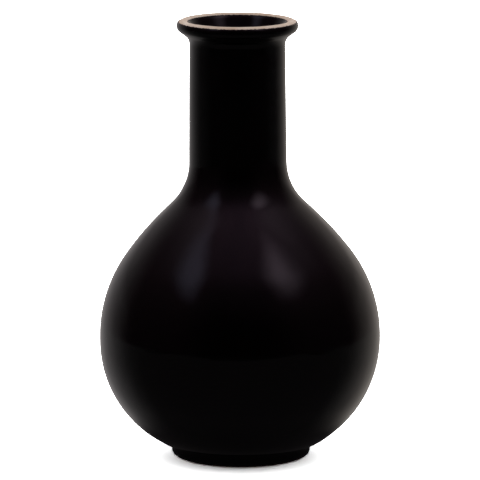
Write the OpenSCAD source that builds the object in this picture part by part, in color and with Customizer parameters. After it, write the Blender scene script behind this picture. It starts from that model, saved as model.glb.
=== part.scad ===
// Bottle vase with a round belly, a tall neck and a rolled lip.
// It is thrown in sections, luted together with clay slip, and glazed inside and out.
//
// All the sections share one wall line. It starts under the foot and climbs the outside of the
// bare clay as a chain of stations, each [radius from the axis, height, heading in degrees].
// Heading 0 points away from the axis and 90 points up, so the wall's thickness lies to its left.

/* [Whole pot] */
// Height of the pot
total_h = 260; // [240:1:300]
// Thickness of the fired clay wall
wall_t = 4.2; // [3.4:0.1:4.8]
// Thickness of the fired glaze
glaze_t = 0.4; // [0.2:0.05:0.5]
// Thickness of the slip in each luted seam
slip_t = 0.6; // [0.3:0.1:1]
// Depth of the V groove and ridge that centre the thrown sections on each other
key_depth = 1.2; // [0:0.1:1.6]

/* [Foot] */
// Outer diameter of the flat that the pot stands on
land_d = 73.8; // [70:0.2:76]
// Inner diameter of the foot ring
foot_bore_d = 64; // [54:1:66]
// Radius of the foot's outer bottom edge
foot_edge_r = 3.6; // [2.5:0.1:4]
// Height of the foot ring
foot_h = 7.3; // [6:0.1:8]
// Radius of the hollow curve up the foot's side
foot_flare_r = 7; // [6:0.5:12]
// Height up the foot at which the outer glaze starts
glaze_start_h = 1; // [0.6:0.1:1.6]

/* [Belly] */
// Diameter of the belly, at its widest
belly_d = 165.2; // [160:0.2:168]
// Radius of the wall line from the foot up to near the widest place
low_arc_r = 68.5; // [67:0.1:70]
// Radius of the wall line round the widest place
belly_arc_r = 83.2; // [82:0.1:86]
// Radius of the wall line over the shoulder
shoulder_arc_r = 188; // [150:1:220]
// Radius of the floor's corner, inside
floor_corner_r = 16; // [10:1:20]

/* [Neck] */
// Diameter of the neck, just under the lip
neck_d = 55.8; // [52:0.2:57]
// Lean of the neck's side, in degrees: the neck narrows gently towards the lip
neck_lean = 0.5; // [0:0.1:1.2]
// Radius of the hollow curve where the shoulder turns up into the neck
root_arc_r = 33; // [28:0.5:38]

/* [Lip] */
// Diameter across the rolled lip
lip_d = 71; // [68:0.2:72]
// Radius of the hollow curve under the lip
lip_fillet_r = 7.6; // [6:0.1:8]
// Radius of the roll's underside
roll_r = 3.6; // [3:0.1:4]
// Height of the upright band round the roll
roll_band_h = 0.2; // [0.1:0.1:0.8]
// Radius of the roll's outer top edge
crown_r = 3.4; // [3:0.1:3.8]
// Radius of the crown's inner side
crown_in_r = 3.3; // [2.8:0.1:3.8]
// Radius of the curve that leads on from the crown into the mouth
mouth_r = 10; // [6:0.5:14]
// Radius of the throat, where the mouth narrows into the neck
throat_r = 10; // [8:0.5:12]
// Height of the stub of neck wall that the lip's coil brings with it
lip_stub_h = 3; // [2:0.5:5]

/* [Hidden] */
$fn = 120;

// Widest gap allowed between an arc of the wall line and the chords that stand for it
arc_gap = 0.03;

clay_colour = "#c4a08a";
slip_colour = "#b08a72";
glaze_colour = "#17121a";

// Headings at which one arc of the wall line hands over to the next
groove_a = 12;
belly_foot_a = 28;
low_end_a = 84;
upright_a = 90;
shoulder_a = 126;
slope_a = 136;
neck_seam_a = 118;
neck_a = upright_a + neck_lean;
lip_flare_a = 36;
crest_a = 180;
mouth_a = 243;

// Headings on the lip's crown between which the clay is bare
outer_glaze_a = 132;
inner_glaze_a = 229;

// Small radii where the foot ring ends and where the belly starts
foot_in_edge_r = 2;
groove_r = 0.8;
under_edge_r = 2;

// Stations along an arc that leaves station s and turns to a heading
function arc_to(s, heading, radius) =
    let (side = heading > s[2] ? 1 : -1)
    let (steps = ceil(abs(heading - s[2]) / (2 * acos(1 - arc_gap / radius))))
    let (centre_r = s[0] - side * radius * sin(s[2]))
    let (centre_h = s[1] + side * radius * cos(s[2]))
    [for (i = [1 : steps])
        let (a = s[2] + (heading - s[2]) * i / steps)
        [centre_r + side * radius * sin(a), centre_h - side * radius * cos(a), a]];

// The station after a straight run from station s
function run(s, length) = [[s[0] + length * cos(s[2]), s[1] + length * sin(s[2]), s[2]]];

// How far an arc moves out from the axis, and up, between two headings
function arc_out(from, to, radius) = radius * abs(sin(to) - sin(from));
function arc_up(from, to, radius) = radius * abs(cos(from) - cos(to));

// The point at some depth into the wall from station s, moved ahead along the wall
function inset(s, depth, ahead = 0) =
    [s[0] - depth * sin(s[2]) + ahead * cos(s[2]), s[1] + depth * cos(s[2]) + ahead * sin(s[2])];
function skin(path, depth) = [for (s = path) inset(s, depth)];

// The wall's cut edge at a seam: a shallow V that points back down the wall
function seam(s) = [inset(s, 0), inset(s, wall_t / 2, -key_depth), inset(s, wall_t)];

function last(list) = list[len(list) - 1];
function reversed(list) = [for (i = [len(list) - 1 : -1 : 0]) list[i]];
function part_of(list, from, drop) = [for (i = [from : len(list) - 1 - drop]) list[i]];
function without_first(list) = part_of(list, 1, 0);
function without_last(list) = part_of(list, 0, 1);
function middle(list) = part_of(list, 1, 1);

// Foot ring, from the standing flat up to the slip under the bowl
foot_bore_r = foot_bore_d / 2;
glaze_start_a = acos(1 - glaze_start_h / foot_edge_r);
foot_top_a = upright_a - asin((foot_h - foot_edge_r) / foot_flare_r);
land = [land_d / 2, 0, 0];
bare_foot_edge = arc_to(land, glaze_start_a, foot_edge_r);
foot_edge = arc_to(last(bare_foot_edge), upright_a, foot_edge_r);
foot_side = arc_to(last(foot_edge), foot_top_a, foot_flare_r);
glazed_foot_path = concat([last(bare_foot_edge)], foot_edge, foot_side);
foot_path = concat([land], without_last(bare_foot_edge), glazed_foot_path);
foot_slip_path = concat([last(foot_path)], run(last(foot_path), slip_t / sin(foot_top_a)));
underside_h = foot_h + slip_t;

// Lower bowl: the groove above the foot, the ledge under the belly, and the belly's lower half.
// The ledge is as long as the belly's diameter asks for.
belly_start_r = belly_d / 2 - arc_out(belly_foot_a, low_end_a, low_arc_r)
              - arc_out(low_end_a, upright_a, belly_arc_r);
groove = arc_to(last(foot_slip_path), groove_a, groove_r);
ledge_len = (belly_start_r - last(groove)[0]
             - arc_out(groove_a, belly_foot_a, under_edge_r)) / cos(groove_a);
ledge = run(last(groove), ledge_len);
under_edge = arc_to(last(ledge), belly_foot_a, under_edge_r);
low_arc = arc_to(last(under_edge), low_end_a, low_arc_r);
low_belly = arc_to(last(low_arc), upright_a, belly_arc_r);
bowl_wall = concat([last(under_edge)], low_arc, low_belly);
lower_path = concat([last(foot_slip_path)], groove, ledge, without_last(under_edge), bowl_wall);
belly_slip_path = concat([last(lower_path)], run(last(lower_path), slip_t));

// Height of the lip, from the start of the hollow under it to its crest
neck_r = neck_d / 2;
lip_flare_len = (lip_d / 2 - neck_r - arc_out(neck_a, lip_flare_a, lip_fillet_r)
                 - arc_out(lip_flare_a, upright_a, roll_r)) / cos(lip_flare_a);
lip_h = arc_up(neck_a, lip_flare_a, lip_fillet_r) + lip_flare_len * sin(lip_flare_a)
      + arc_up(lip_flare_a, upright_a, roll_r) + roll_band_h + crown_r;

// Upper bowl and neck. The straight slope under the neck's root and the neck's straight side
// share out what is left between the belly and the lip, in width and in height.
high_belly = arc_to(last(belly_slip_path), shoulder_a, belly_arc_r);
shoulder = arc_to(last(high_belly), slope_a, shoulder_arc_r);
root_out = arc_out(slope_a, neck_a, root_arc_r) - slip_t * cos(neck_seam_a);
root_up = arc_up(slope_a, neck_a, root_arc_r) + slip_t * sin(neck_seam_a);
spare_out = last(shoulder)[0] - root_out - neck_r;
spare_up = total_h - lip_h - last(shoulder)[1] - root_up;
slope_rise = -tan(slope_a);
neck_side_h = (spare_up - spare_out * slope_rise) / (1 - tan(neck_lean) * slope_rise);
slope_len = (spare_out - neck_side_h * tan(neck_lean)) / -cos(slope_a);

slope = run(last(shoulder), slope_len);
low_root = arc_to(last(slope), neck_seam_a, root_arc_r);
upper_path = concat([last(belly_slip_path)], high_belly, shoulder, slope, low_root);
neck_slip_path = concat([last(upper_path)], run(last(upper_path), slip_t));
high_root = arc_to(last(neck_slip_path), neck_a, root_arc_r);
neck_side = run(last(high_root), (neck_side_h - lip_stub_h) / cos(neck_lean) - slip_t);
neck_path = concat([last(neck_slip_path)], high_root, neck_side);
lip_slip_path = concat([last(neck_path)], run(last(neck_path), slip_t));

// Lip, up the outside to the crest
lip_stub = run(last(lip_slip_path), lip_stub_h / cos(neck_lean));
lip_fillet = arc_to(last(lip_stub), lip_flare_a, lip_fillet_r);
lip_flare = run(last(lip_fillet), lip_flare_len);
roll = arc_to(last(lip_flare), upright_a, roll_r);
roll_band = run(last(roll), roll_band_h);
glazed_crown = arc_to(last(roll_band), outer_glaze_a, crown_r);
bare_crown = arc_to(last(glazed_crown), crest_a, crown_r);
glazed_lip_path = concat([last(lip_slip_path)], lip_stub, lip_fillet, lip_flare, roll, roll_band,
                         glazed_crown);
lip_path = concat(glazed_lip_path, bare_crown);

// Mouth, from the crest down the inside until it runs into the neck's inner side
throat_turn = neck_a + 180 - mouth_a;
neck_inside = inset(last(lip_stub), wall_t);
bare_crown_in = arc_to(last(bare_crown), inner_glaze_a, crown_in_r);
mouth_curve = arc_to(last(bare_crown_in), mouth_a, mouth_r);
mouth_gap = (last(mouth_curve)[0] - neck_inside[0]) * sin(neck_a)
          - (last(mouth_curve)[1] - neck_inside[1]) * cos(neck_a);
mouth_len = (mouth_gap - throat_r * (1 - cos(throat_turn))) / sin(throat_turn);
mouth_flare = run(last(mouth_curve), mouth_len);
throat = arc_to(last(mouth_flare), neck_a + 180, throat_r);
glazed_mouth_path = concat([last(bare_crown_in)], mouth_curve, mouth_flare, throat);
mouth_path = concat(without_last(bare_crown_in), glazed_mouth_path);

// Floor, from the axis out to the bowl's wall
bowl_inside = inset(bowl_wall[0], wall_t);
floor_edge = [bowl_inside[0] - floor_corner_r * sin(belly_foot_a),
              bowl_inside[1] - floor_corner_r * (1 - cos(belly_foot_a)), 0];
floor_corner = arc_to(floor_edge, belly_foot_a, floor_corner_r);
floor_path = concat([[0, floor_edge[1], 0], floor_edge], without_last(floor_corner));

// The inside wall up to the lip, and the whole of the outside that is glazed
inside_path = concat(bowl_wall, upper_path, neck_path, [last(lip_slip_path)]);
outside_path = concat(glazed_foot_path, lower_path, upper_path, neck_path, glazed_lip_path);

module turned(outline) {
    rotate_extrude() polygon(outline);
}

// A ring of wall along a path, with a keyed seam at each end
module wall_ring(path) {
    turned(concat(skin(middle(path), 0), seam(last(path)),
                  reversed(skin(middle(path), wall_t)), reversed(seam(path[0]))));
}

module foot_ring() {
    bore_edge = arc_to([foot_bore_r + foot_in_edge_r, 0, crest_a], upright_a, foot_in_edge_r);
    color(clay_colour)
        turned(concat(skin(foot_path, 0), [[foot_bore_r, foot_h]], reversed(skin(bore_edge, 0)),
                      [[foot_bore_r + foot_in_edge_r, 0]]));
}

module foot_slip() {
    color(slip_colour)
        turned(concat(skin(foot_slip_path, 0),
                      [[foot_bore_r, underside_h], [foot_bore_r, foot_h]]));
}

module lower_bowl() {
    color(clay_colour)
        turned(concat([[0, underside_h]], skin(without_last(lower_path), 0),
                      seam(last(lower_path)), reversed(skin(without_last(bowl_wall), wall_t)),
                      reversed(skin(floor_path, 0))));
}

module belly_slip() {
    color(slip_colour) wall_ring(belly_slip_path);
}

module upper_bowl() {
    color(clay_colour) wall_ring(upper_path);
}

module neck_slip() {
    color(slip_colour) wall_ring(neck_slip_path);
}

module neck() {
    color(clay_colour) wall_ring(neck_path);
}

module lip_slip() {
    color(slip_colour) wall_ring(lip_slip_path);
}

module lip_roll() {
    color(clay_colour)
        turned(concat(skin(without_first(lip_path), 0), skin(mouth_path, 0),
                      reversed(seam(lip_path[0]))));
}

// Glaze over the outside, thinning to nothing at the foot's edge and on the lip
module outer_glaze() {
    color(glaze_colour)
        turned(concat(skin(outside_path, 0), reversed(skin(middle(outside_path), -glaze_t))));
}

// Glaze over the inside, from the lip down the mouth and the wall and across the floor
module inner_glaze() {
    clay_face = concat(skin(floor_path, 0), skin(inside_path, wall_t),
                       reversed(skin(glazed_mouth_path, 0)));
    glaze_face = concat(skin(floor_path, glaze_t), skin(inside_path, wall_t + glaze_t),
                        reversed(skin(without_first(glazed_mouth_path), -glaze_t)));
    color(glaze_colour) turned(concat(clay_face, reversed(glaze_face)));
}

foot_ring();
lower_bowl();
upper_bowl();
neck();
lip_roll();
foot_slip();
belly_slip();
neck_slip();
lip_slip();
outer_glaze();
inner_glaze();
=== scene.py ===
"""A black-glazed bottle vase, thrown in sections: its pieces, its glaze and clay, and a soft white studio."""

import math
import random

import bpy
import numpy as np
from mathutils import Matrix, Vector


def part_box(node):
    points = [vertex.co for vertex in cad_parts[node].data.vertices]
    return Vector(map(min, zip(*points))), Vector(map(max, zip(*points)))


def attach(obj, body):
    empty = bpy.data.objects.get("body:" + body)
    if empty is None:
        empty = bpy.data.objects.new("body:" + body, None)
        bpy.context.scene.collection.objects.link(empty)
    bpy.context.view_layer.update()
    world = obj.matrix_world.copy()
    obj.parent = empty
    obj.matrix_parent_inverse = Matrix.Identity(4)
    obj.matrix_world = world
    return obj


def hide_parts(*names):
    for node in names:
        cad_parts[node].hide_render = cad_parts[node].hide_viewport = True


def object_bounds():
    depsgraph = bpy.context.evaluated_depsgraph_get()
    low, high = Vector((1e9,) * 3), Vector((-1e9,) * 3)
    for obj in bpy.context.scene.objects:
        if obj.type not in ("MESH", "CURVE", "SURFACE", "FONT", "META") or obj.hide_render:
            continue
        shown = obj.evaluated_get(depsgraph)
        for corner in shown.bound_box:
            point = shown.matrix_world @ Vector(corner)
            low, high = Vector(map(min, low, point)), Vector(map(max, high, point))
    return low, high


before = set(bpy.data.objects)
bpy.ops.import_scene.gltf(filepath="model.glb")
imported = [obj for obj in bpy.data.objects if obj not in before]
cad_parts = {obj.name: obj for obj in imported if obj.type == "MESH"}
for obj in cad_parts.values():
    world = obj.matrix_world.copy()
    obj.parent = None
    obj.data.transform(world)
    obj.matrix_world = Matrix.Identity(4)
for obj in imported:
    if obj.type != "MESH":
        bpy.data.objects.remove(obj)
cad_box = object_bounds()

MM = 0.001

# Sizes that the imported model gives
GLAZE_T = 0.4 * MM
SLIP_T = 0.6 * MM
TOTAL_H = cad_box[1].z
BELLY_R = cad_box[1].x - GLAZE_T
UNDERSIDE_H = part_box("lower_bowl")[0].z
FOOT_H = UNDERSIDE_H - SLIP_T

# The rest of the wall line, as in the CAD model
WALL_T = 4.2 * MM
KEY_DEPTH = 1.2 * MM
LAND_R = 36.9 * MM
FOOT_BORE_R = 32 * MM
FOOT_EDGE_R = 3.6 * MM
FOOT_IN_EDGE_R = 2 * MM
FOOT_FLARE_R = 7 * MM
GLAZE_START_H = 1 * MM
GROOVE_R = 0.8 * MM
UNDER_EDGE_R = 2 * MM
LOW_ARC_R = 68.5 * MM
BELLY_ARC_R = 83.2 * MM
SHOULDER_ARC_R = 188 * MM
FLOOR_CORNER_R = 16 * MM
ROOT_ARC_R = 33 * MM
NECK_R = 27.9 * MM
NECK_LEAN = 0.5
LIP_R = 35.5 * MM
LIP_STUB_H = 3 * MM
LIP_FILLET_R = 7.6 * MM
ROLL_R = 3.6 * MM
ROLL_BAND_H = 0.2 * MM
CROWN_R = 3.4 * MM
CROWN_IN_R = 3.3 * MM
MOUTH_R = 10 * MM
THROAT_R = 10 * MM

# Headings along it, in degrees: 0 points away from the axis and 90 points up
GROOVE_A, BELLY_FOOT_A, LOW_END_A, UPRIGHT_A = 12, 28, 84, 90
SHOULDER_A, SLOPE_A, NECK_SEAM_A, NECK_A = 126, 136, 118, 90 + NECK_LEAN
LIP_FLARE_A, OUTER_GLAZE_A, CREST_A, INNER_GLAZE_A, MOUTH_A = 36, 132, 180, 229, 243

# Points round a ring that shows, and round one that doesn't: three to one, so that they can be joined
TURNS = 480
HIDDEN_TURNS = 160


# ---------------------------------------------------------------- the wall line

def sin_of(degrees):
    return math.sin(math.radians(degrees))


def cos_of(degrees):
    return math.cos(math.radians(degrees))


def arc_out(start, end, radius):
    """How far an arc moves away from the axis between two headings."""
    return radius * abs(sin_of(end) - sin_of(start))


def arc_up(start, end, radius):
    """How far an arc climbs between two headings."""
    return radius * abs(cos_of(start) - cos_of(end))


class Line:
    """A chain of arcs and straight runs with the clay on its left, kept as close stations of
    radius, height and heading. Marks name places on it."""

    STEP = 0.15 * MM
    STEP_A = 1

    def __init__(self, r, z, heading):
        self.stations = [(r, z, heading)]
        self.marks = {}

    def mark(self, name):
        self.marks[name] = len(self.stations) - 1
        return self

    def arc(self, heading, radius):
        """Turns to a heading."""
        r, z, start = self.stations[-1]
        side = 1 if heading > start else -1
        turn = abs(heading - start)
        steps = math.ceil(max(turn / self.STEP_A, radius * math.radians(turn) / self.STEP))
        centre_r, centre_z = r - side * radius * sin_of(start), z + side * radius * cos_of(start)
        for i in range(1, steps + 1):
            a = start + (heading - start) * i / steps
            self.stations.append((centre_r + side * radius * sin_of(a),
                                  centre_z - side * radius * cos_of(a), a))
        return self

    def run(self, length):
        """Goes straight on."""
        r, z, a = self.stations[-1]
        steps = math.ceil(length / self.STEP)
        for i in range(1, steps + 1):
            d = length * i / steps
            self.stations.append((r + d * cos_of(a), z + d * sin_of(a), a))
        return self

    def follow(self, line, start, end, depth=0.0):
        """Goes on beside another line from one of its marks to another, backwards if end comes first."""
        first, last = line.marks[start], line.marks[end]
        step, turned = (1, 0) if last > first else (-1, -180)
        names = {index: name for name, index in line.marks.items()}
        for i in range(first, last + step, step):
            r, z, a = line.stations[i]
            self.stations.append((r - depth * sin_of(a), z + depth * cos_of(a), a + turned))
            if i in names:
                self.mark(names[i])
        return self

    def close(self):
        """Measures the whole chain."""
        self.r, self.z, self.a = np.array(self.stations).T
        self.s = np.concatenate([[0], np.cumsum(np.hypot(np.diff(self.r), np.diff(self.z)))])
        return self

    def place(self, name):
        """The length along the line at a mark."""
        return self.s[self.marks[name]]

    def at(self, s, depth=0.0, ahead=0.0):
        """Radius and height at length s, moved to the left by depth and along the line by ahead."""
        a = np.radians(np.interp(s, self.s, self.a))
        r = np.interp(s, self.s, self.r) - depth * np.sin(a) + ahead * np.cos(a)
        return r, np.interp(s, self.s, self.z) + depth * np.cos(a) + ahead * np.sin(a)

    def rows(self, start, end, gap, turn):
        """Lengths from start to end, one for each gap along the line or each turn of heading, in degrees."""
        low, high = min(start, end), max(start, end)
        s = np.concatenate([[low], self.s[(self.s > low) & (self.s < high)], [high]])
        bend = np.abs(np.diff(np.interp(s, self.s, self.a)))
        total = np.concatenate([[0], np.cumsum(np.diff(s) / gap + bend / turn)])
        count = max(math.ceil(total[-1]), 1)
        made = np.interp(np.linspace(0, total[-1], count + 1), total, s)
        return made if end > start else made[::-1]


def wall_line():
    """The outside of the bare clay: up from the standing flat, over the lip and down to the throat's end."""
    line = Line(LAND_R, 0, 0).mark("land")
    line.arc(math.degrees(math.acos(1 - GLAZE_START_H / FOOT_EDGE_R)), FOOT_EDGE_R).mark("glaze_start")
    line.arc(UPRIGHT_A, FOOT_EDGE_R)
    foot_top_a = UPRIGHT_A - math.degrees(math.asin((FOOT_H - FOOT_EDGE_R) / FOOT_FLARE_R))
    line.arc(foot_top_a, FOOT_FLARE_R).mark("foot_top")
    line.run(SLIP_T / sin_of(foot_top_a)).mark("bowl_start").arc(GROOVE_A, GROOVE_R)
    belly_start_r = (BELLY_R - arc_out(BELLY_FOOT_A, LOW_END_A, LOW_ARC_R)
                     - arc_out(LOW_END_A, UPRIGHT_A, BELLY_ARC_R))
    ledge = belly_start_r - line.stations[-1][0] - arc_out(GROOVE_A, BELLY_FOOT_A, UNDER_EDGE_R)
    line.run(ledge / cos_of(GROOVE_A)).arc(BELLY_FOOT_A, UNDER_EDGE_R).mark("belly_start")
    line.arc(LOW_END_A, LOW_ARC_R).arc(UPRIGHT_A, BELLY_ARC_R).mark("belly_seam")
    line.run(SLIP_T).mark("belly_seam_end").arc(SHOULDER_A, BELLY_ARC_R).arc(SLOPE_A, SHOULDER_ARC_R)

    lip_flare = (LIP_R - NECK_R - arc_out(NECK_A, LIP_FLARE_A, LIP_FILLET_R)
                 - arc_out(LIP_FLARE_A, UPRIGHT_A, ROLL_R)) / cos_of(LIP_FLARE_A)
    lip_h = (arc_up(NECK_A, LIP_FLARE_A, LIP_FILLET_R) + lip_flare * sin_of(LIP_FLARE_A)
             + arc_up(LIP_FLARE_A, UPRIGHT_A, ROLL_R) + ROLL_BAND_H + CROWN_R)
    lean, rise = math.tan(math.radians(NECK_LEAN)), -math.tan(math.radians(SLOPE_A))
    shoulder_r, shoulder_z, _ = line.stations[-1]
    spare_out = shoulder_r - arc_out(SLOPE_A, NECK_A, ROOT_ARC_R) + SLIP_T * cos_of(NECK_SEAM_A) - NECK_R
    spare_up = (TOTAL_H - lip_h - shoulder_z - arc_up(SLOPE_A, NECK_A, ROOT_ARC_R)
                - SLIP_T * sin_of(NECK_SEAM_A))
    neck_side = (spare_up - spare_out * rise) / (1 - lean * rise)
    line.run((spare_out - neck_side * lean) / -cos_of(SLOPE_A)).mark("slope_end")
    line.arc(NECK_SEAM_A, ROOT_ARC_R).mark("neck_seam").run(SLIP_T).mark("neck_seam_end")
    line.arc(NECK_A, ROOT_ARC_R).mark("root_end")
    line.run((neck_side - LIP_STUB_H) / cos_of(NECK_LEAN) - SLIP_T).mark("lip_seam")
    line.run(SLIP_T).mark("lip_seam_end").run(LIP_STUB_H / cos_of(NECK_LEAN)).mark("lip_stub")
    r, z, _ = line.stations[-1]
    bore_r, bore_z = r - WALL_T * sin_of(NECK_A), z + WALL_T * cos_of(NECK_A)

    line.arc(LIP_FLARE_A, LIP_FILLET_R).run(lip_flare).arc(UPRIGHT_A, ROLL_R).run(ROLL_BAND_H)
    line.arc(OUTER_GLAZE_A, CROWN_R).mark("outer_edge").arc(CREST_A, CROWN_R)
    line.arc(INNER_GLAZE_A, CROWN_IN_R).mark("inner_edge").arc(MOUTH_A, MOUTH_R)
    r, z, _ = line.stations[-1]
    turn = NECK_A + 180 - MOUTH_A
    gap = (r - bore_r) * sin_of(NECK_A) - (z - bore_z) * cos_of(NECK_A)
    line.run((gap - THROAT_R * (1 - cos_of(turn))) / sin_of(turn)).arc(NECK_A + 180, THROAT_R)
    return line.mark("throat").close()


def inside_line(wall):
    """The inside of the clay, from the middle of the floor up to the lip. The hollow is on its left."""
    r, z, a = wall.stations[wall.marks["belly_start"]]
    corner_r = r - (WALL_T + FLOOR_CORNER_R) * sin_of(a)
    floor_z = z + WALL_T * cos_of(a) - FLOOR_CORNER_R * (1 - cos_of(a))
    line = Line(0, floor_z, 0).mark("floor").run(corner_r).arc(a, FLOOR_CORNER_R)
    line.follow(wall, "belly_start", "lip_seam_end", WALL_T)
    return line.follow(wall, "throat", "inner_edge").close()


def foot_line(wall):
    """The foot ring's own skin, from the top of its bore down under it and up its outside."""
    line = Line(FOOT_BORE_R, FOOT_H, -90).mark("bore_top").run(FOOT_H - FOOT_IN_EDGE_R)
    line.arc(0, FOOT_IN_EDGE_R).mark("bore_edge").run(LAND_R - FOOT_BORE_R - FOOT_IN_EDGE_R)
    return line.follow(wall, "land", "foot_top").close()


WALL = wall_line()
INSIDE = inside_line(WALL)
FOOT = foot_line(WALL)
UNDERSIDE = Line(0, UNDERSIDE_H, 0).mark("middle").run(FOOT_BORE_R).mark("bore").close()


# ---------------------------------------------------------------- hand-made unevenness

# Where the pot's axis lies at a height: the foot and the neck were set on a little to opposite sides
AXIS_HEIGHTS = np.array([0, 9, 16, 45, 70, 120, 150, 160, 180, 225, 262]) * MM
AXIS_X = np.array([0.6, 0.5, -0.2, -0.25, 0, 0, -0.6, -1.05, -1.25, -1.5, -1.5]) * MM
AXIS_Y = np.array([-0.2, -0.2, -0.1, 0, 0, 0, 0.1, 0.2, 0.25, 0.3, 0.3]) * MM
LIP_DROP, LIP_DROP_START, LIP_DROP_REACH = 0.35 * MM, 238 * MM, 20 * MM
OVAL = 0.12 * MM
THROWING = 0.012 * MM


def smooth(t):
    t = np.clip(t, 0, 1)
    return t * t * (3 - 2 * t)


def hand_made(r, angle, z):
    """Moves points of a truly round pot to where the hands left them: off the axis, never further
    from their own centre, and at the lip a little lower in front."""
    oval = OVAL * (np.cos(2 * angle + 0.7 + 9 * z) - 1) / 2
    rings = (np.sin(z / (1.05 * MM) + 1.4 * np.sin(z / (7.3 * MM)))
             + np.sin(z / (1.73 * MM) + 1.1 * np.sin(z / (11.9 * MM)) + angle) - 2) / 4
    radius = r + (oval + THROWING * rings) * smooth(z / (20 * MM)) * smooth(r / (8 * MM))
    x = radius * np.cos(angle) + np.interp(z, AXIS_HEIGHTS, AXIS_X)
    y = radius * np.sin(angle) + np.interp(z, AXIS_HEIGHTS, AXIS_Y)
    front = (1 - radius * np.sin(angle) / LIP_R) / 2
    drop = LIP_DROP * front * smooth((z - LIP_DROP_START) / LIP_DROP_REACH)
    return np.stack([x, y, z - drop], -1)


def around(count):
    return np.arange(count) * (math.tau / count)


def ragged(angle, seed, low=30, high=150, count=50):
    """An uneven closed curve of about -1 to 1, of waves that go low to high times round."""
    dice = random.Random(seed)
    total = np.zeros_like(angle)
    for _ in range(count):
        total += np.cos(dice.randint(low, high) * angle + dice.uniform(0, math.tau))
    return total / math.sqrt(2 * count)


def streaks(s, angle, seed, shortest, longest, count=14):
    """Tool marks that run round the pot: 0 on the skin to 1 at their deepest."""
    dice = random.Random(seed)
    total = np.zeros_like(angle)
    for _ in range(count):
        length = dice.uniform(shortest, longest)
        total += np.cos(math.tau * s / length + dice.randint(-4, 4) * angle + dice.uniform(0, math.tau))
    return np.clip(0.5 + total / count, 0, 1)


# ---------------------------------------------------------------- turned meshes

class Turned:
    """A solid of revolution made ring by ring along its outline, with the solid on the outline's left.
    A ring on the axis is one point."""

    def __init__(self):
        self.points, self.coats, self.rings, self.faces = [], [], [], []
        self.count = 0

    def row(self, r, z, turns, coat=1.0):
        """Adds a ring. The radius and height are one number each, or one for each point."""
        angle = around(turns)
        spots = hand_made(np.broadcast_to(r, turns), angle, np.broadcast_to(z, turns))
        if self.rings and self.rings[-1][1] == turns and np.allclose(spots, self.points[-1], atol=1e-7):
            return
        self.points.append(spots)
        self.coats.append(np.full(turns, coat))
        self.rings.append((self.count, turns))
        self.count += turns
        if len(self.rings) > 1:
            self.join(self.rings[-2], self.rings[-1])

    def join(self, one, two):
        """Faces between two rings that have as many points, or three times as many, or one."""
        (a, n), (b, m) = one, two
        if n == m == 1:
            return
        j = np.arange(min(n, m) if min(n, m) > 1 else max(n, m))
        k = (j + 1) % len(j)
        if m == 1:
            made = [(a + j, a + k, b + 0 * j)]
        elif n == 1:
            made = [(a + 0 * j, b + k, b + j)]
        elif n == m:
            made = [(a + j, a + k, b + k, b + j)]
        elif m == 3 * n:
            c, d = b + 3 * j, b + 3 * k
            made = [(a + j, c + 1, c), (a + j, c + 2, c + 1), (a + j, a + k, c + 2), (a + k, d, c + 2)]
        else:
            c, d = a + 3 * j, a + 3 * k
            made = [(c, c + 1, b + j), (c + 1, c + 2, b + j), (c + 2, b + k, b + j), (c + 2, d, b + k)]
        for corners in made:
            self.faces += np.stack(corners, -1).tolist()

    def follow(self, line, start, end, depth=0.0, gap=8 * MM, turn=12, turns=HIDDEN_TURNS):
        """Adds plain rings beside a line, from one of its marks to another."""
        for s in line.rows(line.place(start), line.place(end), gap, turn):
            r, z = line.at(s, depth)
            self.row(r, z, 1 if r < 1e-6 else turns)
        return self

    def tooled(self, line, start, end, deep, seed, gap, lengths, turns=TURNS):
        """Adds rings of bare clay with tool marks in it, which fade out at both ends."""
        first, last = line.place(start), line.place(end)
        for s in line.rows(first, last, gap, 6):
            fade = smooth(min(abs(s - first), abs(s - last)) / (0.6 * MM))
            points = 1 if line.at(s)[0] < 1e-6 else turns
            cut = deep * fade * streaks(s, around(points), seed, *lengths)
            self.row(*line.at(s, cut), points)
        return self

    def key(self, mark):
        """Adds the bottom of the V in the wall's cut edge at a seam."""
        r, z = WALL.at(WALL.place(mark), WALL_T / 2, -KEY_DEPTH)
        self.row(r, z, HIDDEN_TURNS)
        return self

    def build(self, name, node, slot, material, crisp=35):
        """Closes the outline and makes the piece that stands for a CAD node."""
        self.join(self.rings[-1], self.rings[0])
        mesh = bpy.data.meshes.new(name)
        mesh.from_pydata(np.concatenate(self.points).tolist(), [], self.faces)
        coat = mesh.attributes.new("coat", "FLOAT", "POINT")
        coat.data.foreach_set("value", np.concatenate(self.coats).astype(np.float32))
        mesh.shade_smooth()
        mesh.set_sharp_from_angle(angle=math.radians(crisp))
        mesh.materials.append(material)
        piece = bpy.data.objects.new(name, mesh)
        bpy.context.scene.collection.objects.link(piece)
        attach(piece, "root")
        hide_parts(node)
        return piece


# ---------------------------------------------------------------- pieces

EDGE_W = 0.6 * MM
EDGE_REACH = 3 * MM
RAGGED = 0.24 * MM


def coat_at(u):
    """Thickness of the glaze at u from its edge, as a share of its full thickness: a rounded end."""
    t = min(u / EDGE_W, 1)
    return math.sqrt(1 - (1 - t) ** 2)


def glaze_rows(piece, line, start, end, bands, side, seed_start=None, seed_end=None):
    """Adds the glaze's free face from length start to end: bands of rings, each with its end, gap,
    turn of heading and number of points. An end with a seed is a ragged edge."""
    edges = [(e, seed) for e, seed in ((start, seed_start), (end, seed_end)) if seed is not None]
    here = start
    for band_end, gap, turn, turns in bands:
        for s in line.rows(here, band_end, gap, turn):
            shift, coat = 0.0, 1.0
            for edge, seed in edges:
                hold = max(0, 1 - abs(s - edge) / EDGE_REACH)
                shift = shift + RAGGED * hold * ragged(around(turns), seed)
                coat = min(coat, coat_at(abs(s - edge)))
            r, z = line.at(s + shift, side * GLAZE_T * coat)
            if np.max(r) < 1e-6:
                piece.row(r[0], z[0], 1, coat)
            else:
                piece.row(r, z, turns, coat)
        here = band_end


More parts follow.
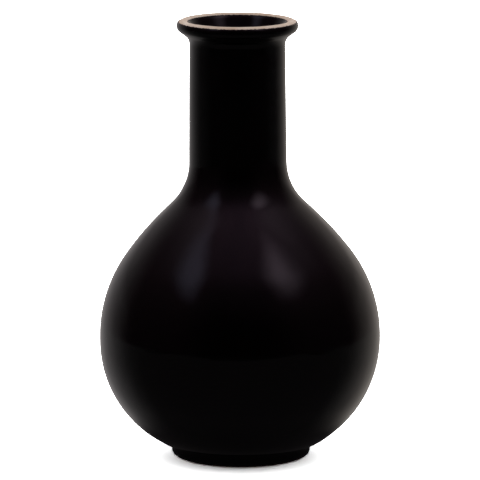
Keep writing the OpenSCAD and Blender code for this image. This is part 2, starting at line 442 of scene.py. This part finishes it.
def make_outer_glaze(material):
    """The black coat over the outside, from the foot's edge to the lip's crown."""
    piece = Turned()
    start, end = WALL.place("glaze_start"), WALL.place("outer_edge")
    bands = [(start + EDGE_W, 0.3 * MM, 8, TURNS),
             (WALL.place("belly_start"), 1.3 * MM, 8, TURNS),
             (WALL.place("slope_end"), 3.6 * MM, 6, TURNS),
             (WALL.place("root_end"), 3 * MM, 6, TURNS),
             (WALL.place("lip_stub"), 5 * MM, 6, TURNS),
             (end - EDGE_W, 1.1 * MM, 7, TURNS),
             (end, 0.3 * MM, 8, TURNS)]
    glaze_rows(piece, WALL, start, end, bands, -1, seed_start=11, seed_end=12)
    for s in WALL.rows(end - EDGE_REACH, start + EDGE_REACH, 8 * MM, 14):
        piece.row(*WALL.at(s), HIDDEN_TURNS)
    return piece.build("glaze_outside", "outer_glaze", "glaze", material)


def make_inner_glaze(material):
    """The coat over the inside, from the lip down the mouth and over the floor."""
    piece = Turned()
    start = INSIDE.place("inner_edge")
    bands = [(start - EDGE_W, 0.3 * MM, 8, TURNS),
             (INSIDE.place("throat"), 0.9 * MM, 6, TURNS),
             (INSIDE.place("throat") - 60 * MM, 5 * MM, 6, TURNS),
             (0.0, 6 * MM, 8, HIDDEN_TURNS)]
    glaze_rows(piece, INSIDE, start, 0.0, bands, 1, seed_start=13)
    for s in INSIDE.rows(0.0, start - EDGE_REACH, 8 * MM, 14):
        r, z = INSIDE.at(s)
        piece.row(r, z, 1 if r < 1e-6 else HIDDEN_TURNS)
    return piece.build("glaze_inside", "inner_glaze", "glaze", material)


def make_lip(material):
    """The coil of clay rolled over for the lip. Its crown is left bare."""
    piece = Turned().follow(WALL, "lip_seam_end", "outer_edge", turn=8)
    piece.tooled(WALL, "outer_edge", "inner_edge", 0.05 * MM, 21, 0.2 * MM, (0.5 * MM, 1.6 * MM))
    piece.follow(WALL, "inner_edge", "throat", turn=8).follow(INSIDE, "throat", "lip_seam_end")
    return piece.key("lip_seam_end").build("clay_lip", "lip_roll", "clay", material)


def make_wall(name, node, start, end, slot, material):
    """A ring of wall between two seams."""
    piece = Turned().follow(WALL, start, end, gap=4 * MM).key(end).follow(INSIDE, end, start, gap=4 * MM)
    return piece.key(start).build(name, node, slot, material)


def make_lower_bowl(material):
    """The bowl's underside with its turning marks, its outside, and its inside back to the floor's middle."""
    piece = Turned().tooled(UNDERSIDE, "middle", "bore", 0.1 * MM, 31, 0.4 * MM, (1.4 * MM, 4 * MM))
    piece.follow(WALL, "bowl_start", "belly_seam", gap=4 * MM).key("belly_seam")
    piece.follow(INSIDE, "belly_seam", "floor", gap=4 * MM)
    return piece.build("clay_lower_bowl", "lower_bowl", "clay", material)


def make_foot(material):
    """The foot ring: its bore, the flat that it stands on, and its side."""
    piece = Turned().tooled(FOOT, "bore_top", "bore_edge", 0.06 * MM, 41, 0.25 * MM, (0.9 * MM, 2.4 * MM))
    piece.tooled(FOOT, "bore_edge", "glaze_start", 0.05 * MM, 42, 0.2 * MM, (0.6 * MM, 1.6 * MM))
    piece.follow(FOOT, "glaze_start", "foot_top")
    return piece.build("clay_foot", "foot_ring", "clay", material)


def make_foot_slip(material):
    """The slip between the foot ring and the bowl, which shows inside the foot as a narrow line."""
    piece = Turned().follow(WALL, "foot_top", "bowl_start")
    piece.row(FOOT_BORE_R, UNDERSIDE_H, HIDDEN_TURNS)
    piece.row(FOOT_BORE_R, FOOT_H, HIDDEN_TURNS)
    return piece.build("slip_foot", "foot_slip", "slip", material)


# ---------------------------------------------------------------- materials

class Graph:
    """Short ways to add and wire the nodes of one tree."""

    def __init__(self, tree):
        tree.nodes.clear()
        self.tree = tree

    def add(self, kind, inputs=None, **settings):
        node = self.tree.nodes.new(kind)
        for name, value in settings.items():
            setattr(node, name, value)
        for name, value in (inputs or {}).items():
            self.put(node.inputs[name], value)
        return node

    def put(self, socket, value):
        """Wires a socket to another one, or sets its value."""
        if isinstance(value, bpy.types.NodeSocket):
            self.tree.links.new(value, socket)
        else:
            socket.default_value = value

    def math(self, operation, first, second=0.0):
        return self.add("ShaderNodeMath", {0: first, 1: second}, operation=operation).outputs[0]

    def product(self, *factors):
        total = factors[0]
        for factor in factors[1:]:
            total = self.math("MULTIPLY", total, factor)
        return total

    def sum(self, *terms):
        total = terms[0]
        for term in terms[1:]:
            total = self.math("ADD", total, term)
        return total

    def ramp(self, value, start, end, low=0.0, high=1.0):
        """Goes smoothly from low at start to high at end, and stays level beyond them."""
        node = self.add("ShaderNodeMapRange", {"Value": value, "From Min": start, "From Max": end,
                                               "To Min": low, "To Max": high},
                        interpolation_type="SMOOTHSTEP")
        return node.outputs["Result"]

    def mix(self, factor, first, second):
        """Blends two colours."""
        node = self.add("ShaderNodeMix", data_type="RGBA")
        self.put(node.inputs[0], factor)
        for socket, colour in ((node.inputs[6], first), (node.inputs[7], second)):
            self.put(socket, colour if isinstance(colour, bpy.types.NodeSocket) else (*colour, 1))
        return node.outputs[2]

    def noise(self, vector, scale, detail=2.0, roughness=0.5, **more):
        inputs = {"Vector": vector, "Scale": scale, "Detail": detail, "Roughness": roughness, **more}
        node = self.add("ShaderNodeTexNoise", noise_dimensions="4D" if "W" in more else "3D")
        for name, value in inputs.items():
            self.put(node.inputs[name], value)
        return node.outputs[0]

    def ring_noise(self, place, across, round_trips=1.5, detail=3.0):
        """Noise drawn out round the pot: across is its scale over the wall and up it, per metre."""
        x, y, z = self.add("ShaderNodeSeparateXYZ", {0: place}).outputs
        r = self.math("SQRT", self.sum(self.product(x, x), self.product(y, y), 1e-9))
        spot = self.add("ShaderNodeCombineXYZ", {0: self.product(self.math("DIVIDE", x, r), round_trips),
                                                 1: self.product(self.math("DIVIDE", y, r), round_trips),
                                                 2: self.product(r, across)}).outputs[0]
        return self.noise(spot, 1.0, detail, W=self.product(z, across))

    def bump(self, height, distance, under=None):
        inputs = {"Height": height, "Distance": distance, "Strength": 1.0}
        if under is not None:
            inputs["Normal"] = under
        return self.add("ShaderNodeBump", inputs).outputs[0]


def new_material(name):
    material = bpy.data.materials.new(name)
    material.use_nodes = True
    graph = Graph(material.node_tree)
    place = graph.add("ShaderNodeTexCoord").outputs["Object"]
    shader = graph.add("ShaderNodeBsdfPrincipled")
    graph.add("ShaderNodeOutputMaterial", {"Surface": shader.outputs[0]})
    return material, graph, place, shader


def glaze_material(name):
    """A black gloss glaze: evenly melted, with a faint swell, a few pinholes, and brown at its thin edges."""
    material, graph, place, shader = new_material(name)
    coat = graph.add("ShaderNodeAttribute", attribute_name="coat").outputs["Fac"]
    worn = graph.noise(place, 900, 3)
    thin = graph.ramp(graph.sum(coat, graph.product(worn, 0.3)), 1.0, 0.35)
    cloud = graph.noise(place, 35, 3)
    black = graph.mix(graph.ramp(cloud, 0.35, 0.7), (0.0004, 0.0002, 0.0003), (0.0006, 0.0003, 0.0004))
    graph.put(shader.inputs["Base Color"], graph.mix(thin, black, (0.11, 0.045, 0.028)))

    film = graph.ramp(graph.noise(place, 60, 4, 0.6), 0.3, 0.75, 0.045, 0.085)
    graph.put(shader.inputs["Roughness"], graph.sum(film, graph.product(thin, 0.25)))
    shader.inputs["IOR"].default_value = 1.5

    swell = graph.bump(graph.noise(place, 70, 1), 0.00012)
    skin = graph.bump(graph.noise(place, 420, 2), 0.000006, swell)
    pits = graph.add("ShaderNodeTexVoronoi", {"Vector": place, "Scale": 130.0, "Randomness": 1.0})
    rare = graph.ramp(pits.outputs["Color"], 0.05, 0.04)
    pinhole = graph.product(graph.ramp(pits.outputs["Distance"], 0.045, 0.02), rare)
    graph.put(shader.inputs["Normal"], graph.bump(graph.math("SUBTRACT", 1, pinhole), 0.0001, skin))
    return material


def clay_material(name, light, dark, speck):
    """Fired clay that was sponged and turned while soft: grain, fine rings and a few dark specks."""
    material, graph, place, shader = new_material(name)
    grain = graph.noise(place, 1500, 4, 0.65)
    rings = graph.ring_noise(place, 1400)
    clouds = graph.noise(place, 90, 3)
    tone = graph.sum(graph.product(clouds, 0.5), graph.product(rings, 0.35), graph.product(grain, 0.15))
    colour = graph.mix(graph.ramp(tone, 0.36, 0.64), dark, light)
    dots = graph.ramp(graph.noise(place, 2600, 1), 0.70, 0.78)
    graph.put(shader.inputs["Base Color"], graph.mix(graph.product(dots, 0.6), colour, speck))
    graph.put(shader.inputs["Roughness"], graph.ramp(rings, 0.3, 0.7, 0.5, 0.72))
    shader.inputs["IOR"].default_value = 1.5
    shader.inputs["Specular IOR Level"].default_value = 0.45
    fine = graph.bump(grain, 0.00006)
    graph.put(shader.inputs["Normal"], graph.bump(rings, 0.0001, fine))
    return material


# ---------------------------------------------------------------- studio

# In metres, with the camera's tilt in degrees and its lens in millimetres
FLOOR_REACH = 12
TABLE_REACH, SHADE_REACH = 0.5, 0.2
CAMERA_AWAY, CAMERA_H, CAMERA_TILT, LENS = 2.959, 0.653, 10.045, 382.15


class Sky:
    """The way a ray goes, in degrees: its height over the horizon, its azimuth from the camera, to the
    right if positive, and its turn, which is the azimuth without a sign. Right goes from 0 to 1."""

    def __init__(self, graph):
        way = graph.add("ShaderNodeTexCoord").outputs["Generated"]
        self.x, y, z = graph.add("ShaderNodeSeparateXYZ", {0: way}).outputs
        degrees = 180 / math.pi
        self.height = graph.product(graph.math("ARCSINE", z), degrees)
        self.azimuth = graph.product(graph.math("ARCTAN2", self.x, graph.product(y, -1)), degrees)
        self.turn = graph.math("ABSOLUTE", self.azimuth)
        self.right = graph.ramp(self.x, -0.5, 0.5)


def soft_box(graph, azimuth, height, left, right, low, high):
    """A soft rectangle of light: each side is a pair of angles, from dark to full."""
    return graph.product(graph.ramp(azimuth, *left), graph.ramp(azimuth, *right),
                         graph.ramp(height, *low), graph.ramp(height, *high))


def ceiling_light(graph, sky):
    """A dim ceiling, brighter overhead and to the right."""
    overhead = graph.sum(graph.ramp(sky.height, 40, 90, 0, 0.7), graph.ramp(sky.height, 12, 75, 0, 0.3))
    return graph.product(overhead, graph.ramp(sky.x, -1, 1, 0.13, 0.24))


def side_light(graph, sky):
    """A faint glow high at the sides and behind."""
    return graph.product(graph.ramp(sky.turn, 60, 105), graph.ramp(sky.height, 30, 68, 0, 0.13),
                         graph.ramp(sky.height, 88, 65))


def left_box_light(graph, sky):
    """The soft box at the camera's left, with its top and bottom sloping."""
    height = graph.sum(sky.height, graph.product(sky.azimuth, 0.3), 20)
    return soft_box(graph, sky.azimuth, height, (-105, -65), (-38, -62), (31, 50), (70, 54))


def right_box_light(graph, sky):
    """The soft box at the camera's right, with all its sides sloping."""
    height = graph.sum(sky.height, graph.product(sky.azimuth, -0.25), 14)
    azimuth = graph.sum(sky.azimuth, graph.product(sky.height, 0.5), -27)
    return soft_box(graph, azimuth, height, (24, 56), (91, 57), (29, 55), (74, 56))


def sweep_light(graph, sky):
    """The white sweep behind the pot: narrower higher up, and less far down straight behind the pot."""
    narrowed = graph.sum(sky.turn, graph.ramp(sky.height, 12, 50, 0, -15),
                         graph.ramp(sky.height, -2, -12, 0, 3))
    lowered = graph.sum(sky.height, graph.ramp(sky.turn, 150, 180, 0, -16))
    return graph.product(graph.ramp(narrowed, 98, 168), graph.ramp(lowered, -57, -20),
                         graph.ramp(sky.height, 14, 6, 0.67, 1), graph.ramp(sky.height, 75, 45, 0.3, 1))


def ground_light(graph, sky):
    """The ground far from the pot: dark, and a little lighter at the sides."""
    return graph.product(graph.ramp(sky.height, -6, -8), graph.ramp(sky.turn, 60, 100, 0.008, 0.045),
                         graph.ramp(sky.turn, 150, 120, 0.3, 1), graph.ramp(sky.height, -65, -40, 0.3, 1))


def room_light(graph, sky):
    """The dark room above the ground, darkest round the camera."""
    walls = graph.product(graph.ramp(sky.turn, 15, 60), graph.ramp(sky.height, -5, 40, 0.015, 0.035))
    return graph.product(graph.ramp(sky.height, -8, -6),
                         graph.sum(graph.ramp(sky.height, 4, 50, 0.003, 0.01), walls))


def matt_light(graph, sky):
    """What lights matt clay and the floor: soft light from above, the sides and behind."""
    low = graph.product(graph.ramp(sky.turn, 60, 110), graph.ramp(sky.height, 60, 0, 0, 2.2),
                        graph.ramp(sky.height, -4, 0))
    return graph.sum(graph.ramp(sky.height, 5, 65, 0.06, 1.2), low)


def make_studio():
    """The world: the glaze reflects a soft-lit room, matt clay gets plain soft light, and the camera
    sees white."""
    world = bpy.data.worlds.new("studio")
    world.use_nodes = True
    bpy.context.scene.world = world
    world.cycles.sampling_method = "NONE"
    graph = Graph(world.node_tree)
    sky = Sky(graph)
    sweep = sweep_light(graph, sky)
    lights = [(ceiling_light(graph, sky), (1.0, 0.62, 0.9)),
              (side_light(graph, sky), (1.0, 0.85, 0.95)),
              (left_box_light(graph, sky), (0.27, 0.26, 0.36)),
              (right_box_light(graph, sky), (0.55, 0.44, 0.53)),
              (graph.product(sweep, graph.math("SUBTRACT", 1, sky.right)), (0.37, 0.35, 0.35)),
              (graph.product(sweep, sky.right), (0.44, 0.40, 0.365)),
              (ground_light(graph, sky), (1.0, 0.95, 0.97)),
              (room_light(graph, sky), (1.0, 0.6, 0.75))]
    reflected = None
    for amount, colour in lights:
        part = graph.add("ShaderNodeVectorMath", {0: colour, "Scale": amount}, operation="SCALE").outputs[0]
        if reflected is not None:
            part = graph.add("ShaderNodeVectorMath", {0: reflected, 1: part}, operation="ADD").outputs[0]
        reflected = part

    ray = graph.add("ShaderNodeLightPath").outputs
    seen = graph.mix(ray["Is Glossy Ray"], matt_light(graph, sky), reflected)
    seen = graph.mix(ray["Is Camera Ray"], seen, (1.0, 1.0, 1.0))
    background = graph.add("ShaderNodeBackground", {"Color": seen, "Strength": 1.0})
    graph.add("ShaderNodeOutputWorld", {"Surface": background.outputs[0]})


def make_flat(name, colour, left, right, near, far):
    """A level rectangle at the height of the pot's foot, with an empty material. Returns it and the
    material's graph."""
    mesh = bpy.data.meshes.new(name)
    mesh.from_pydata([(left, near, 0), (right, near, 0), (right, far, 0), (left, far, 0)], [], [(0, 1, 2, 3)])
    flat = bpy.data.objects.new(name, mesh)
    bpy.context.scene.collection.objects.link(flat)
    material = bpy.data.materials.new(colour + "_" + name)
    material.use_nodes = True
    mesh.materials.append(material)
    return flat, Graph(material.node_tree)


def make_floor():
    """A plain white floor, bright enough to burn out except in the pot's soft shadow."""
    floor, graph = make_flat("floor", "white", -FLOOR_REACH, FLOOR_REACH, -FLOOR_REACH, FLOOR_REACH)
    diffuse = graph.add("ShaderNodeBsdfDiffuse", {"Color": (3.8, 3.8, 3.8, 1)})
    graph.add("ShaderNodeOutputMaterial", {"Surface": diffuse.outputs[0]})
    floor.visible_glossy = False
    floor.visible_diffuse = False


def make_table():
    """The dark ground that only the glaze sees: a table top in front, and the shade round the foot."""
    table, graph = make_flat("table", "dark", -TABLE_REACH, TABLE_REACH, -TABLE_REACH, SHADE_REACH)
    place = graph.add("ShaderNodeTexCoord").outputs["Object"]
    away = graph.add("ShaderNodeVectorMath", {0: place}, operation="LENGTH").outputs["Value"]
    y = graph.add("ShaderNodeSeparateXYZ", {0: place}).outputs[1]
    glow = graph.add("ShaderNodeEmission", {"Color": (1.0, 0.9, 0.95, 1),
                                            "Strength": graph.ramp(away, 0.045, 0.09, 0.015, 0.035)})
    cover = graph.math("MAXIMUM", graph.ramp(y, -0.04, -0.06), graph.ramp(away, 0.093, 0.058))
    clear = graph.add("ShaderNodeBsdfTransparent")
    top = graph.add("ShaderNodeMixShader", {0: cover, 1: clear.outputs[0], 2: glow.outputs[0]})
    graph.add("ShaderNodeOutputMaterial", {"Surface": top.outputs[0]})
    table.visible_camera = False
    table.visible_diffuse = False
    table.visible_shadow = False


def make_camera():
    """A long lens about three metres away, looking ten degrees down."""
    camera = bpy.data.cameras.new("camera")
    camera.sensor_width = 36
    camera.lens = LENS
    camera.clip_start, camera.clip_end = 0.1, 60
    viewer = bpy.data.objects.new("camera", camera)
    viewer.location = (0, -CAMERA_AWAY, CAMERA_H)
    viewer.rotation_euler = (math.radians(90 - CAMERA_TILT), 0, 0)
    bpy.context.scene.collection.objects.link(viewer)
    bpy.context.scene.camera = viewer


def make_pot():
    glaze = glaze_material("black_glaze")
    clay = clay_material("bare_clay", (0.62, 0.50, 0.42), (0.49, 0.34, 0.25), (0.22, 0.12, 0.08))
    # The foot ring's clay is dark partly because it was toasted red-brown in the kiln, and partly as painted
    # shade where the ring meets the floor.
    toasted_and_shaded = clay_material("toasted_and_shaded_clay", (0.13, 0.065, 0.042), (0.085, 0.042, 0.027), (0.05, 0.025, 0.016))
    slip = clay_material("fired_slip", (0.44, 0.29, 0.21), (0.36, 0.225, 0.155), (0.16, 0.09, 0.06))
    make_foot(toasted_and_shaded)
    make_lower_bowl(clay)
    make_wall("clay_upper_bowl", "upper_bowl", "belly_seam_end", "neck_seam", "clay", clay)
    make_wall("clay_neck", "neck", "neck_seam_end", "lip_seam", "clay", clay)
    make_lip(clay)
    make_foot_slip(slip)
    make_wall("slip_belly", "belly_slip", "belly_seam", "belly_seam_end", "slip", slip)
    make_wall("slip_neck", "neck_slip", "neck_seam", "neck_seam_end", "slip", slip)
    make_wall("slip_lip", "lip_slip", "lip_seam", "lip_seam_end", "slip", slip)
    make_outer_glaze(glaze)
    make_inner_glaze(glaze)


make_camera()
make_studio()
make_floor()
make_table()
make_pot()
bpy.context.scene.view_settings.view_transform = "Standard"
